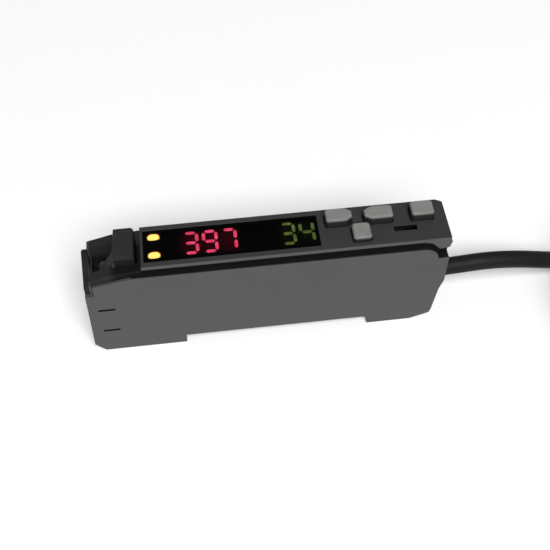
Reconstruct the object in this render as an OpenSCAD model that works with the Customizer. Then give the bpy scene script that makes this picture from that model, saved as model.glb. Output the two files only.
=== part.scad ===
// Fibre optic sensor amplifier for a 35 mm rail: two number displays, four keys, a fibre lock
// lever and a fixed cable. Millimetres, +Z up, fibre end at -X, cable end at +X, feet at z = 0.

/* [Body] */
// Width across the two side faces
body_w = 10; // [9.8:0.1:13]
// Height of the side faces above the feet
side_h = 22.15; // [21.9:0.05:26]
// Wall of the case and of the side cover
wall = 1.2; // [1:0.05:1.3]
// Length of the fibre head, from the fibre end to the panel
head_len = 11.35; // [11.2:0.05:13]
// Length of the key field, from the window to the cable end
keys_len = 23.55; // [23.3:0.05:28]
// Radius of the side faces' upper corner at the cable end
corner_r = 3; // [2.6:0.1:3.2]

/* [Rail slot] */
// Clear width between the feet, for a 35 mm rail
rail_gap = 35.4; // [35.2:0.1:37]
// Depth of the rail slot
rail_h = 2.35; // [2.2:0.05:2.8]
// Length of the foot at the fibre end
toe_len = 17.4; // [16.8:0.1:18.4]
// Thickness of the rail lip that the two hooks grip
lip_t = 1.2; // [1.05:0.05:1.3]
// Reach of the two hooks under the rail
hook_reach = 1.2; // [0.8:0.1:1.5]
// Travel of the sprung hook
hook_travel = 1.5; // [1.3:0.05:1.6]

/* [Top panel] */
// Height of the dark band between the side faces and the panel
band_h = 1.6; // [1.4:0.05:1.9]
// Thickness of the panel
panel_t = 0.85; // [0.8:0.05:1.2]
// Setback of the panel's long edges from the side faces
panel_set = 0.5; // [0.4:0.05:0.6]
// Setback of the panel from the cable end
panel_end = 0.3; // [0.25:0.05:0.5]
// Rim of the panel at the window's end
rim = 0.5; // [0.4:0.05:1]

/* [Display] */
// Width of the window
window_w = 7; // [6.6:0.1:7.2]
// Thickness of the window
window_t = 0.3; // [0.25:0.05:0.4]
// Length of the lamp field beside the displays
lamp_zone = 3.3; // [3.1:0.05:4]
// Pitch of the digits
digit_pitch = 3.43; // [3.3:0.01:3.8]
// Distance of a digit's end bars from the display's edges
digit_edge = 0.65; // [0.55:0.05:0.85]
// Width of a digit between its side bars
digit_w = 2.2; // [2:0.1:2.4]
// Width of one bar of a digit
bar_w = 0.6; // [0.4:0.05:0.7]
// Gap between the bars of a digit, shared by the two ends of a bar
bar_gap = 0.4; // [0.2:0.05:0.5]
// Length of a lamp
lamp_len = 2.15; // [2:0.05:2.4]
// Width of a lamp
lamp_w = 1.5; // [1.3:0.05:1.6]
// Distance of the rear lamp from the tray's wall
lamp_edge = 0.25; // [0.15:0.05:0.35]
// Setback of the digits and lamps from the middle line
display_y = 0.2; // [0:0.05:0.3]

/* [Keys] */
// Rise of the three tall keys above the panel
key_rise = 1.9; // [1.5:0.1:2.2]
// Rise of the low key above the panel
low_key_rise = 1.2; // [0.9:0.05:1.4]
// Travel of a key
key_travel = 0.35; // [0.25:0.05:0.4]
// Clearance of a key in the panel
key_gap = 0.15; // [0.1:0.01:0.2]
// Travel of the slide switch
switch_travel = 2; // [1.6:0.1:2.2]

/* [Fibre ports] */
// Radius of a fibre port
port_r = 1.15; // [1:0.05:1.25]
// Depth of a fibre port
port_len = 12; // [10:0.1:12.4]
// Height of the lower port above the floor over the rail
port_lift = 3.2; // [2.6:0.05:3.4]
// Depth of the upper port below the top of the side faces
port_drop = 8.75; // [8.75:0.05:9.4]

/* [Lock lever] */
// Length of the lever's knob
knob_len = 3.4; // [3:0.1:3.8]
// Width of the lever's knob
knob_w = 6.6; // [6:0.1:7]
// Rise of the knob above the panel
knob_rise = 1.6; // [1.2:0.1:1.8]
// Radius of the lever's pin
pin_r = 0.55; // [0.5:0.05:0.6]
// Running clearance of the lever on its pin
pin_gap = 0.05; // [0.03:0.01:0.08]

/* [Cable] */
// Diameter of the cable
cable_d = 3.4; // [3:0.1:3.6]
// Height of the cable's exit above the feet
cable_z = 9.4; // [8.8:0.1:10]
// Radius of the coil at the middle of its turns
coil_r = 18.5; // [18:0.1:18.6]

/* [Hidden] */
$fn = 48;

// Overall places along X
display_gap = 0.18;
window_end = 0.3;
display_len = 4 * digit_pitch;
window_len = lamp_zone + 2 * display_len + display_gap + window_end;
body_len = head_len + rim + window_len + keys_len;
xl = -body_len / 2;
xr = body_len / 2;
half = body_w / 2;
panel_l = xl + head_len;
panel_r = xr - panel_end;
window_l = panel_l + rim;
window_r = window_l + window_len;
rail_l = xl + toe_len;
rail_r = rail_l + rail_gap;
inner_y = half - wall;
panel_y = half - panel_set;

// Heights
head_drop = 4.1;
head_z = side_h - head_drop;
shoulder_z = side_h - corner_r + 0.1;
band_top = side_h + band_h;
panel_top = band_top + panel_t;
floor_z = rail_h + wall;

// Side outline: setbacks of its corners from the ends
toe_cut = 1.8;
toe_rise = 2.3;
heel_cut = 5.3;
heel_end = 1.5;
heel_rise = 1.5;
heel_in = 1.2;
heel_top = 2.7;
waist = 0.64;
waist_rise = 0.1;
nose_rise = 2.8;
nose_in = 0.15;
lean = 0.7;
arc_x = xr - 2.15 - corner_r;
head_step = 2.3;
brow_len = 9.3;
brow_drop = 1.5;

// Dark frame under the panel
fit = 0.1;
skirt_y = inner_y - fit;
tray_y = skirt_y - 0.5;
web_y = half - 0.9;
ear_y = web_y + 0.05;
tray_z = side_h - 2.6;
board_z = tray_z + 0.6;
board_t = 0.8;
deck_z = board_z + board_t;
pocket_r = panel_l - 0.55;
pocket_l = xl + 1.4;
cheek_l = xl + lean + wall + 0.05;
cheek_front = cheek_l - fit;
pocket_y = 2.7;
head_y = panel_y;
head_floor = head_z - 1.85;
sill_h = 2.05;
sill_set = 0.05;
sill_out = 0.2;
sill_round = 0.4;
sill_in = 0.2;
sill_foot = 0.35;
sill_y = head_y - 2 * fit;
cheek_run = 6.1;
end_set = 0.4;
end_block = 4;
web_end = 1.9;
flange_t = 0.3;
flange_y = half - 0.15;
flange_end = 2.3;
tray_end = xr - 1.6;

// Window stack
lens_drop = 0.05;
lens_z = panel_top - lens_drop - window_t;
face_z = lens_z - 0.1;
bar_t = 0.06;
display_w = 2 * (tray_y - 0.35);
digit_h = display_w - 2 * digit_edge;
lamp_y = tray_y - display_y - lamp_w / 2 - lamp_edge;
display_fit = 0.02;
window_fit = 0.05;
red_l = window_l + lamp_zone;
green_l = red_l + display_len + display_gap;
lamp_x = window_l + 1.9;

// Keys: start after the window, length, front edge, rear edge, taper at left and right, rise
key_rear = panel_y - 1.3;
key_front = 1 - panel_y;
KEY_LEFT = [1.35, 4.8, 0.3, key_rear, 0, 1.2, key_rise];
KEY_RIGHT = [8.3, 5.2, 0.15, key_rear - 0.2, 1.2, 0, key_rise];
KEY_MODE = [5.75, 3.3, key_front, 0, 0, 0, low_key_rise];
KEY_SET = [16.8, 4.1, 0, key_rear, 0, 0, key_rise];
KEYS = [KEY_LEFT, KEY_RIGHT, KEY_MODE, KEY_SET];
tip_half = 0.7;
key_corner = 0.35;
crown_t = 0.35;
crown_in = 0.25;
slice = 0.01;
key_floor = band_top - 0.7;
tab_w = 1.4;
tab_reach = key_gap + 0.2;
switch_size = [2.8, 2.3, 1.0];
plunger_r = 0.6;
plunger_gap = 0.15;
plunger_dip = 0.15;
well_depth = key_travel + plunger_dip + 0.15;

// Slide switch, measured from the window
slot_set = 13.35;
slot_x = window_r + slot_set;
slot_len = 4.2;
slot_y = -1.4;
slot_w = 1.1;
slider_len = slot_len - switch_travel - 0.3;
slider_x = slot_x + fit;
slide_body_z = deck_z + 1.4;

// Fibre ports, clamp and lever
holder_x = xl + 3.2;
holder_end = holder_x + port_len + 3.2;
holder_front = -inner_y + 1.2;
port_z = floor_z + port_lift;
port_high = side_h - port_drop;
split_z = (port_z + port_high) / 2;
holder_top = port_high + port_r + 0.75;
aperture_r = 0.6;
aperture_len = 0.5;
seat_x = holder_x + port_len + aperture_len;
led_r = 1.5;
clamp_gap = 0.25;
clamp_t = 0.9;
clamp_y = 2.3;
clamp_pad = 0.4;
clamp_low = 2.4;
pivot_set = 4.2;
pivot_drop = 4.85;
pivot_x = xl + pivot_set;
pivot_z = side_h - pivot_drop;
hub_r = 1.1;
hub_y = pocket_y - 0.2;
cam_r = 1;
cam_x = 0.15;
cam_z = 0.4;
clamp_top = pivot_z - cam_z - cam_r - fit;
knob_r = panel_l - 1;
knob_l = knob_r - knob_len;
knob_top = panel_top + knob_rise;
knob_floor = band_top + 0.12;
neck_floor = side_h;
arm_y = 1.1;

// Main board
main_l = holder_end + 2.4;
main_end = 4.3;
main_r = xr - main_end;
main_y = 0.3;
main_t = 1;
main_top = tray_z - 1.4;
post_r = 1.2;
post_set = 5;
post_lift = 3;
plug_len = 8;
plug_l = window_r - 3.5 - plug_len;
plug_y = 0.9;
chip_size = 7;
chip_t = 1;
driver_set = 10;
driver_size = 4;
driver_low = 2.5;
can_set = 14;
can_drop = 4;
can_len = 3;
can_r = 1.8;

// Rail hook
hook_y = 2.3;
wing_y = 2.85;
hook_gap = 0.15;
wing_z = 0.75;
hook_top = rail_h - 0.35;
hook_len = 8.1;
channel_end = xr - heel_cut + 2.2;
spring_r = 0.5;
wire_r = 0.12;
spring_turns = 4;
spring_steps = 12;

// Cable: the route from the terminal to the coil, points chosen by hand
cable_r = cable_d / 2;
ROUTE = [
    [xr - 4.1, 0, cable_z], [xr - 0.3, 0, cable_z], [37, 0, 9.6], [41, 0, 9.9], [45, 0.1, 9.8],
    [50, 0.35, 8.9], [55, 0.8, 7.3], [60, 1.5, 5.4], [64.3, 2.3, 3.8], [68, 3.05, 2.75],
    [70.6, 3.55, 2.35]
];
coil_at = [84.4, -18];
coil_rings = 3;
coil_levels = 6;
coil_pitch = cable_d + 0.1;
tie_t = 0.5;
tie_w = 8;
tie_start = -72;
lead_r = 0.5;
lead_pitch = 1.2;
gap_start = 90;
gap_turn = 120;
lead_start = 148;
lead_turn = 61.8;
lead_z = tie_t + (coil_levels - 1) * coil_pitch;

// A box between two corners
module slab(x0, x1, y0, y1, z0, z1) {
    translate([x0, y0, z0])
        cube([x1 - x0, y1 - y0, z1 - z0]);
}

// A flat outline in X and Z, thickened from y0 to y1
module extrude_y(y0, y1) {
    translate([0, y1, 0])
        rotate([90, 0, 0])
            linear_extrude(y1 - y0)
                children();
}

// The same outline on both sides of the middle line
module extrude_both(y0, y1) {
    extrude_y(y0, y1) children();
    extrude_y(-y1, -y0) children();
}

// A round bar along X, and one along Y
module bar_x(x0, x1, y, z, r) {
    translate([x0, y, z])
        rotate([0, 90, 0])
            cylinder(h = x1 - x0, r = r);
}
module bar_y(x, z, y0, y1, r) {
    translate([x, y1, z])
        rotate([90, 0, 0])
            cylinder(h = y1 - y0, r = r);
}

// Outline of the side faces, with the rail slot between the two feet
module side_outline() {
    difference() {
        polygon([
            [xl + toe_cut, 0], [rail_l, 0], [rail_l, rail_h], [rail_r, rail_h], [rail_r, 0],
            [xr - heel_cut, 0], [xr - heel_end, heel_rise], [xr - heel_in, heel_top],
            [xr - waist, cable_z + waist_rise], [xr, cable_z + nose_rise], [xr - nose_in, shoulder_z],
            [arc_x + corner_r, shoulder_z],
            [arc_x + corner_r, side_h], [xl + brow_len, side_h],
            [xl + head_step, side_h - brow_drop], [xl + head_step, head_z], [xl + lean, head_z],
            [xl, toe_rise]
        ]);
        difference() {
            translate([arc_x, side_h - corner_r])
                square(corner_r + 1);
            translate([arc_x, side_h - corner_r])
                circle(corner_r);
        }
    }
}

// Hollow of the case, open at the top
module case_hollow() {
    polygon([
        [xl + toe_cut + 0.4, wall], [rail_l - wall, wall], [rail_l - wall, floor_z],
        [xr - heel_end - 2 * wall, floor_z], [xr - heel_in - wall, floor_z + wall],
        [xr - waist - wall, cable_z + waist_rise], [xr - wall, cable_z + nose_rise],
        [xr - nose_in - wall, panel_top + 1], [xl + lean + wall, panel_top + 1],
        [xl + lean + wall, head_z], [xl + wall, toe_rise + 0.5]
    ]);
}

// T-shaped channel of the sprung hook
module hook_channel() {
    slab(rail_r - 1, xr, -hook_y - fit, hook_y + fit, -1, wing_z + fit);
    slab(rail_r - 1, channel_end, -wing_y - fit, wing_y + fit, wing_z - fit, hook_top + fit);
}

// Posts on the rear wall that carry the main board
module board_posts() {
    low = floor_z + post_lift;
    high = main_top - post_lift;
    for (p = [[main_l + post_set, low], [main_r - post_set, low], [(main_l + main_r) / 2, high]])
        bar_y(p[0], p[1], main_y + main_t, inner_y + fit, post_r);
}

// Grey case: rear side, floor, ends and posts in one moulding
module main_case() {
    color([0.36, 0.36, 0.37])
    difference() {
        union() {
            difference() {
                extrude_y(-inner_y, half) side_outline();
                extrude_y(-inner_y - 1, inner_y) case_hollow();
            }
            board_posts();
            slab(rail_l - 0.5, rail_l + hook_reach, -hook_y, hook_y, 0, rail_h - lip_t);
        }
        hook_channel();
        for (z = [port_z, port_high])
            bar_x(xl - 1, xl + 2.4, 0, z, port_r + 0.5);
        bar_x(xr - 4, xr + 1, 0, cable_z, cable_r + 0.9);
    }
}

// Grey front cover with its locating tongues and the two marks beside the fibre ports
module side_cover() {
    mark_l = xl + 2.3;
    mark_len = 3.1;
    mark_h = 0.62;
    mark_depth = 0.8;
    tongue = 0.8;
    tongue_l = 5;
    tongue_r = 3;
    color([0.37, 0.37, 0.38])
    difference() {
        union() {
            extrude_y(-half, -inner_y) side_outline();
            slab(rail_l + 2, rail_r - 2, -inner_y - 0.2, -inner_y + tongue, floor_z + fit, floor_z + 0.9);
            slab(xl + tongue_l, rail_l - tongue_r, -inner_y - 0.2, -inner_y + tongue, wall + fit, wall + 0.9);
        }
        for (z = [port_z, port_high])
            slab(mark_l, mark_l + mark_len, -half - 1, -half + mark_depth, z - mark_h / 2, z + mark_h / 2);
    }
}

// Outline of the head's two cheeks, rising towards the panel
module cheek_outline(x0) {
    polygon([
        [cheek_l, head_floor], [cheek_l, head_z + fit], [x0, head_z + fit], [x0, head_z + sill_h],
        [x0 + 2 * fit, side_h - 0.15], [xl + cheek_run, side_h + 1.15], [pocket_r, band_top],
        [panel_l, band_top], [panel_l, head_floor]
    ]);
}

// The part of a cheek that lies above the side faces
module cheek_above(x0) {
    difference() {
        cheek_outline(x0);
        side_outline();
    }
}

// One layer of the head's end wall, which reaches further out at the rear
module sill_layer(inset, z0, z1) {
    translate([0, 0, z0])
        linear_extrude(z1 - z0)
            polygon([
                [xl + sill_out + inset, sill_y], [xl + lean + sill_set + inset, -sill_y],
                [cheek_l + fit, -sill_y], [pocket_l + fit, sill_y]
            ]);
}

// What lies above the side faces, under the panel
module above_sides(x0, x1, z1) {
    difference() {
        translate([x0, head_z])
            square([x1 - x0, z1 - head_z]);
        side_outline();
    }
}

// Thin flange that lies on the side faces' upper edge
module flange_outline(x0) {
    intersection() {
        above_sides(x0, xr - flange_end, panel_top);
        translate([0, flange_t]) side_outline();
    }
}

// Dark frame: fibre head, tray of the display board, band under the panel and end block
module chassis_frame() {
    color([0.08, 0.08, 0.085])
    difference() {
        union() {
            slab(pocket_r, xr - end_set, -skirt_y, skirt_y, tray_z, side_h + 2 * fit);
            slab(xr - end_block, xr - end_set, -skirt_y, skirt_y, shoulder_z + fit, band_top);
            extrude_y(-web_y, web_y) above_sides(pocket_r, xr - web_end, band_top);
            extrude_y(-flange_y, flange_y) flange_outline(pocket_r);
            extrude_both(pocket_y, flange_y) flange_outline(xl + brow_len);
            slab(arc_x + corner_r + fit, xr - end_set, -flange_y, flange_y, shoulder_z, shoulder_z + flange_t);
            extrude_y(pocket_y, skirt_y) cheek_outline(pocket_l);
            extrude_y(-skirt_y, -pocket_y) cheek_outline(cheek_front);
            extrude_y(skirt_y - fit, head_y) cheek_above(pocket_l);
            extrude_y(-head_y, -skirt_y + fit) cheek_above(cheek_front);
            slab(pocket_r - fit, panel_l, -skirt_y, skirt_y, head_floor, band_top);
            slab(xl + lean + sill_set, cheek_l, -sill_y, sill_y, head_z, head_z + sill_foot);
            sill_layer(0, head_z, head_z + sill_h - sill_round);
            sill_layer(sill_in, head_z + sill_h - sill_round - fit, head_z + sill_h);
        }
        slab(panel_l + 2 * fit, tray_end, -tray_y, tray_y, board_z, panel_top);
        slab(plug_l - 0.5, plug_l + plug_len + 0.5, -plug_y - 1.5, plug_y + 1.5, tray_z - 1, board_z + 1);
        bar_y(pivot_x, pivot_z, -skirt_y - 0.01, skirt_y + 0.01, pin_r + 0.02);
    }
}

// Ear at the panel's cable end, over the upper corner of a side face
module ear_outline() {
    polygon([
        [arc_x, band_top + 0.2], [arc_x, band_top], [arc_x + 1.6, band_top - 0.5],
        [arc_x + 3.1, band_top - 2.2], [xr - 0.35, band_top - 2], [xr, band_top - 0.4],
        [xr - panel_end, band_top + 0.2]
    ]);
}

// Outline of a key in plan, grown by g
module key_outline(k, g) {
    x0 = window_r + k[0] - g;
    x1 = window_r + k[0] + k[1] + g;
    y0 = k[2] - g;
    y1 = k[3] + g;
    mid = (k[2] + k[3]) / 2;
    left_cut = k[4] > 0 ? k[4] : key_corner;
    right_cut = k[5] > 0 ? k[5] : key_corner;
    left_tip = k[4] > 0 ? tip_half + g : (y1 - y0) / 2 - key_corner;
    right_tip = k[5] > 0 ? tip_half + g : (y1 - y0) / 2 - key_corner;
    polygon([
        [x0, mid - left_tip], [x0 + left_cut, y0], [x1 - right_cut, y0], [x1, mid - right_tip],
        [x1, mid + right_tip], [x1 - right_cut, y1], [x0 + left_cut, y1], [x0, mid + left_tip]
    ]);
}

// Outline of a lamp in plan, grown by g
module lamp_outline(y, g) {
    span = lamp_len - lamp_w;
    for (s = [-1, 1])
        translate([lamp_x + s * span / 2, y])
            circle(lamp_w / 2 + g);
    translate([lamp_x - span / 2, y - lamp_w / 2 - g])
        square([span, lamp_w + 2 * g]);
}

// Dark grey top panel with the window recess, key openings and end ears
module top_panel() {
    cut = 0.6;
    color([0.22, 0.22, 0.225])
    difference() {
        union() {
            translate([0, 0, band_top])
                linear_extrude(panel_t)
                    polygon([
                        [panel_l, -panel_y], [panel_r, -panel_y], [panel_r, panel_y - cut],
                        [panel_r - 2 * cut, panel_y], [panel_l, panel_y]
                    ]);
            extrude_both(ear_y, panel_y) ear_outline();
        }
        slab(window_l, window_r, -window_w / 2, window_w / 2, lens_z, panel_top + 1);
        for (x = [red_l, green_l])
            slab(x + display_fit - fit, x + display_len - display_fit + fit,
                -display_w / 2 - fit, display_w / 2 + fit, band_top - 1, lens_z + 1);
        translate([0, 0, band_top - 1])
            linear_extrude(lens_z + 2 - band_top) {
                lamp_outline(display_y + lamp_y, fit);
                lamp_outline(display_y - lamp_y, fit);
            }
        translate([0, 0, band_top - 1])
            linear_extrude(panel_t + 2)
                for (k = KEYS)
                    key_outline(k, key_gap);
        slab(slot_x, slot_x + slot_len, slot_y - slot_w / 2, slot_y + slot_w / 2, band_top - 1, panel_top + 1);
    }
}

// Black window plate in the panel's recess
module display_window() {
    y = window_w / 2 - window_fit;
    color([0.01, 0.01, 0.012])
    slab(window_l + window_fit, window_r - window_fit, -y, y, lens_z, panel_top - lens_drop);
}

// Four-digit display block on the display board
module display_block(x) {
    color([0.03, 0.03, 0.03])
    slab(x + display_fit, x + display_len - display_fit, -display_w / 2, display_w / 2, deck_z, face_z);
}
module red_display() {
    display_block(red_l);
}
module green_display() {
    display_block(green_l);
}

// One bar of a digit, lying along X
module digit_bar(len) {
    a = len / 2;
    b = bar_w / 2;
    linear_extrude(bar_t)
        polygon([[-a, 0], [-a + b, -b], [a - b, -b], [a, 0], [a - b, b], [-a + b, b]]);
}

// Lit bars of one digit: flags in the order top, upper right, lower right, bottom,
// lower left, upper left, middle
module digit(x, flags) {
    w = digit_w / 2;
    h = digit_h / 2;
    at = [[0, h, 0], [w, h / 2, 90], [w, -h / 2, 90], [0, -h, 0], [-w, -h / 2, 90], [-w, h / 2, 90], [0, 0, 0]];
    for (i = [0:6])
        if (flags[i] == 1)
            translate([x + at[i][0], display_y + at[i][1], face_z])
                rotate([0, 0, at[i][2]])
                    digit_bar((at[i][2] == 0 ? digit_w : h) - bar_gap);
}
THREE = [1, 1, 1, 1, 0, 0, 1];
FOUR = [0, 1, 1, 0, 0, 1, 1];
SEVEN = [1, 1, 1, 0, 0, 0, 0];
NINE = [1, 1, 1, 1, 0, 1, 1];
BLANK = [0, 0, 0, 0, 0, 0, 0];
module number(x, digits) {
    for (i = [0:3])
        digit(x + (i + 0.5) * digit_pitch, digits[i]);
}
module red_digits() {
    color([0.85, 0.12, 0.2]) number(red_l, [BLANK, THREE, NINE, SEVEN]);
}
module green_digits() {
    color([0.5, 0.6, 0.25]) number(green_l, [BLANK, BLANK, THREE, FOUR]);
}

// Amber light guide of an output lamp
module lamp(y) {
    color([1, 0.75, 0.2])
    translate([0, 0, deck_z])
        linear_extrude(lens_z - window_fit - deck_z)
            lamp_outline(y, 0);
}
module output_lamp_rear() {
    lamp(display_y + lamp_y);
}
module output_lamp_front() {
    lamp(display_y - lamp_y);
}

// Board under the panel, on the floor of the tray
module display_board() {
    color([0.05, 0.3, 0.15])
    slab(panel_l + 0.3, tray_end - fit, -tray_y + fit, tray_y - fit, board_z, deck_z);
}

// Upright board on the posts of the rear wall
module main_board() {
    color([0.05, 0.32, 0.16])
    slab(main_l, main_r, main_y, main_y + main_t, floor_z + 0.25, main_top);
}
module board_connector() {
    color([0.85, 0.82, 0.75])
    slab(plug_l, plug_l + plug_len, -plug_y, main_y + main_t + plug_y, main_top, board_z);
}
module controller_chip() {
    x = (main_l + main_r) / 2 - 1.5 * chip_size;
    z = floor_z + post_lift;
    color([0.07, 0.07, 0.07])
    slab(x, x + chip_size, main_y - chip_t, main_y, z, z + chip_size);
}
module output_driver() {
    color([0.07, 0.07, 0.07])
    slab(main_r - driver_set, main_r - driver_set + driver_size, main_y - 1.2 * chip_t, main_y,
        cable_z - driver_low, cable_z - driver_low + driver_size);
}
module supply_capacitor() {
    color([0.2, 0.2, 0.3])
    bar_y(main_r - can_set, main_top - can_drop, main_y - can_len, main_y, can_r);
}
module cable_terminal() {
    color([0.9, 0.9, 0.85])
    slab(main_r - 2.6, xr - 4.1, main_y - 2.3, main_y, cable_z - 2, cable_z + 2);
}

// Key: cap with a chamfered crown, stem within the tray, and a tab under the panel at each end
module key(k, shade) {
    mid = (k[2] + k[3]) / 2;
    x0 = window_r + k[0];
    x1 = x0 + k[1];
    cap_z = band_top + key_travel + fit;
    stem_y = tray_y - fit;
    top = panel_top + k[6];
    color(shade) {
        translate([0, 0, cap_z])
            linear_extrude(top - crown_t - cap_z)
                key_outline(k, 0);
        hull() {
            translate([0, 0, top - crown_t - slice])
                linear_extrude(slice)
                    key_outline(k, 0);
            translate([0, 0, top - slice])
                linear_extrude(slice)
                    key_outline(k, -crown_in);
        }
        translate([0, 0, key_floor])
            linear_extrude(cap_z + fit - key_floor)
                intersection() {
                    key_outline(k, 0);
                    translate([x0 - 1, -stem_y])
                        square([k[1] + 2, 2 * stem_y]);
                }
        slab(x0 - tab_reach, x0 + 0.2, mid - tab_w / 2, mid + tab_w / 2, key_floor, band_top - fit);
        slab(x1 - 0.2, x1 + tab_reach, mid - tab_w / 2, mid + tab_w / 2, key_floor, band_top - fit);
    }
}
module left_key() {
    key(KEY_LEFT, [0.5, 0.5, 0.49]);
}
module right_key() {
    key(KEY_RIGHT, [0.5, 0.5, 0.49]);
}
module mode_key() {
    key(KEY_MODE, [0.5, 0.5, 0.49]);
}
module set_key() {
    key(KEY_SET, [0.5, 0.5, 0.49]);
}

// Middle of a key in plan
function key_mid(k) = [window_r + k[0] + k[1] / 2, (k[2] + k[3]) / 2];

// Push switch under a key, with the well of its plunger
module key_switch(k) {
    color([0.12, 0.12, 0.12])
    translate([key_mid(k)[0], key_mid(k)[1], deck_z])
        difference() {
            translate([-switch_size[0] / 2, -switch_size[1] / 2, 0])
                cube(switch_size);
            translate([0, 0, switch_size[2] - well_depth])
                cylinder(h = well_depth + 1, r = plunger_r + plunger_gap);
        }
}
module left_switch() {
    key_switch(KEY_LEFT);
}
module right_switch() {
    key_switch(KEY_RIGHT);
}
module mode_switch() {
    key_switch(KEY_MODE);
}
module set_switch() {
    key_switch(KEY_SET);
}

// Plunger of a push switch, from its well to the key
module plunger(k) {
    bottom = deck_z + switch_size[2] - plunger_dip;
    color([0.75, 0.75, 0.72])
    translate([key_mid(k)[0], key_mid(k)[1], bottom])
        cylinder(h = key_floor - bottom, r = plunger_r);
}
module left_plunger() {
    plunger(KEY_LEFT);
}
module right_plunger() {
    plunger(KEY_RIGHT);
}
module mode_plunger() {
    plunger(KEY_MODE);
}
module set_plunger() {
    plunger(KEY_SET);
}

// Slide switch on the display board, and the knob in the panel's slot
module slide_switch() {
    color([0.7, 0.7, 0.72])
    difference() {
        slab(slot_x - 0.5, slot_x + slot_len + 0.5, slot_y - 1.1, slot_y + 1.1, deck_z, slide_body_z);
        slab(slot_x, slot_x + slot_len, slot_y - 0.4, slot_y + 0.4, slide_body_z - 0.7, slide_body_z + 1);
    }
}
module slide_knob() {
    color([0.1, 0.1, 0.1]) {
        slab(slider_x, slider_x + slider_len, slot_y - slot_w / 2 + fit, slot_y + slot_w / 2 - fit,
            slide_body_z + fit, panel_top - 0.65);
        slab(slider_x + 0.2, slider_x + slider_len - 0.2, slot_y - 0.3, slot_y + 0.3,
            slide_body_z - 0.6, slide_body_z + 0.2);
    }
}

// Block that leads one fibre to its light part
module port_block(z, z0, z1) {
    color([0.1, 0.1, 0.1])
    difference() {
        slab(holder_x, holder_end, holder_front, inner_y - fit, z0, z1);
        slab(rail_l - wall - fit, holder_end + 1, -half, half, 0, floor_z + fit);
        bar_x(holder_x - 1, holder_x + port_len, 0, z, port_r);
        bar_x(holder_x + port_len - 0.1, seat_x + 0.1, 0, z, aperture_r);
        bar_x(seat_x, holder_end + 1, 0, z, led_r + 0.05);
    }
}
module emitter_holder() {
    port_block(port_z, wall, split_z);
}
module receiver_holder() {
    port_block(port_high, split_z, holder_top);
}

// Light part in the rear seat of a port block, with its two legs
module light_part(z, shade) {
    color(shade) {
        bar_x(seat_x + 0.05, holder_end + 0.6, 0, z, led_r);
        for (y = [-0.6, 0.6])
            bar_x(holder_end + 0.5, main_l - fit, y, z, 0.2);
    }
}
module emitter_led() {
    light_part(port_z, [0.8, 0.2, 0.2]);
}
module receiver_diode() {
    light_part(port_high, [0.2, 0.2, 0.25]);
}

// Clamp plate in front of the two port blocks, held down by the lever's cam
module fibre_clamp() {
    clamp_x = holder_x - clamp_gap - clamp_t;
    color([0.75, 0.75, 0.75])
    difference() {
        union() {
            slab(clamp_x, clamp_x + clamp_t, -clamp_y, clamp_y, port_z - clamp_low, clamp_top);
            slab(clamp_x, pivot_x + 1.2, -clamp_y, clamp_y, clamp_top - clamp_pad, clamp_top);
        }
        for (z = [port_z, port_high])
            bar_x(clamp_x - 1, clamp_x + clamp_t + 0.05, 0, z, port_r + 0.2);
    }
}

// Lock lever: knob beside the panel, arm, hub on the pin and the cam over the clamp
module lock_lever() {
    bevel = 0.4;
    splay = 0.9;
    rise = knob_top - neck_floor;
    slope = splay * (knob_floor - neck_floor) / rise;
    color([0.19, 0.19, 0.19])
    difference() {
        union() {
            extrude_y(-knob_w / 2, knob_w / 2)
                polygon([
                    [knob_l - splay + slope, knob_floor], [knob_r, knob_floor], [knob_r, knob_top - bevel],
                    [knob_r - bevel, knob_top], [knob_l, knob_top]
                ]);
            extrude_y(-hub_y, hub_y)
                polygon([
                    [knob_l - splay, neck_floor], [knob_r - 0.1, neck_floor], [knob_r - 0.1, knob_floor + 0.1],
                    [knob_l - splay + slope, knob_floor + 0.1]
                ]);
            extrude_y(-arm_y, arm_y)
                polygon([
                    [pivot_x - 1.1, pivot_z + 0.3], [pivot_x + 1, pivot_z - 0.5],
                    [knob_l + 0.8, neck_floor + 0.1], [knob_l - splay + 0.1, neck_floor + 0.6]
                ]);
            bar_y(pivot_x, pivot_z, -hub_y, hub_y, hub_r);
            bar_y(pivot_x + cam_x, pivot_z - cam_z, -clamp_y, clamp_y, cam_r);
        }
        bar_y(pivot_x, pivot_z, -hub_y - 1, hub_y + 1, pin_r + pin_gap);
    }
}
module lever_pin() {
    color([0.75, 0.75, 0.77])
    bar_y(pivot_x, pivot_z, -skirt_y + 0.05, skirt_y - 0.05, pin_r);
}

// Sprung hook that slides in the foot at the cable end
module rail_hook() {
    x1 = rail_r + hook_len;
    color([0.1, 0.1, 0.1])
    difference() {
        union() {
            slab(rail_r - hook_reach, x1, -hook_y, hook_y, hook_gap, rail_h - lip_t);
            slab(rail_r + fit, x1, -hook_y, hook_y, hook_gap, hook_top);
            slab(rail_r + fit, x1, -wing_y, wing_y, wing_z + fit, hook_top);
        }
        slab(x1 - 2.2, x1 - 1.2, -hook_y - 1, hook_y + 1, -1, wing_z);
    }
}

// Spring between the hook and the end of its channel
module hook_spring() {
    x0 = rail_r + hook_len + wire_r + 0.05;
    x1 = channel_end - wire_r - 0.05;
    z = (wing_z + hook_top) / 2 + fit;
    steps = spring_turns * spring_steps;
    path = [
        for (i = [0:steps])
            let (a = i * 360 / spring_steps)
            [x0 + (x1 - x0) * i / steps, spring_r * cos(a), z + spring_r * sin(a)]
    ];
    color([0.7, 0.7, 0.72])
    tube(path, wire_r, 6, [1, 0, 0]);
}

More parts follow.
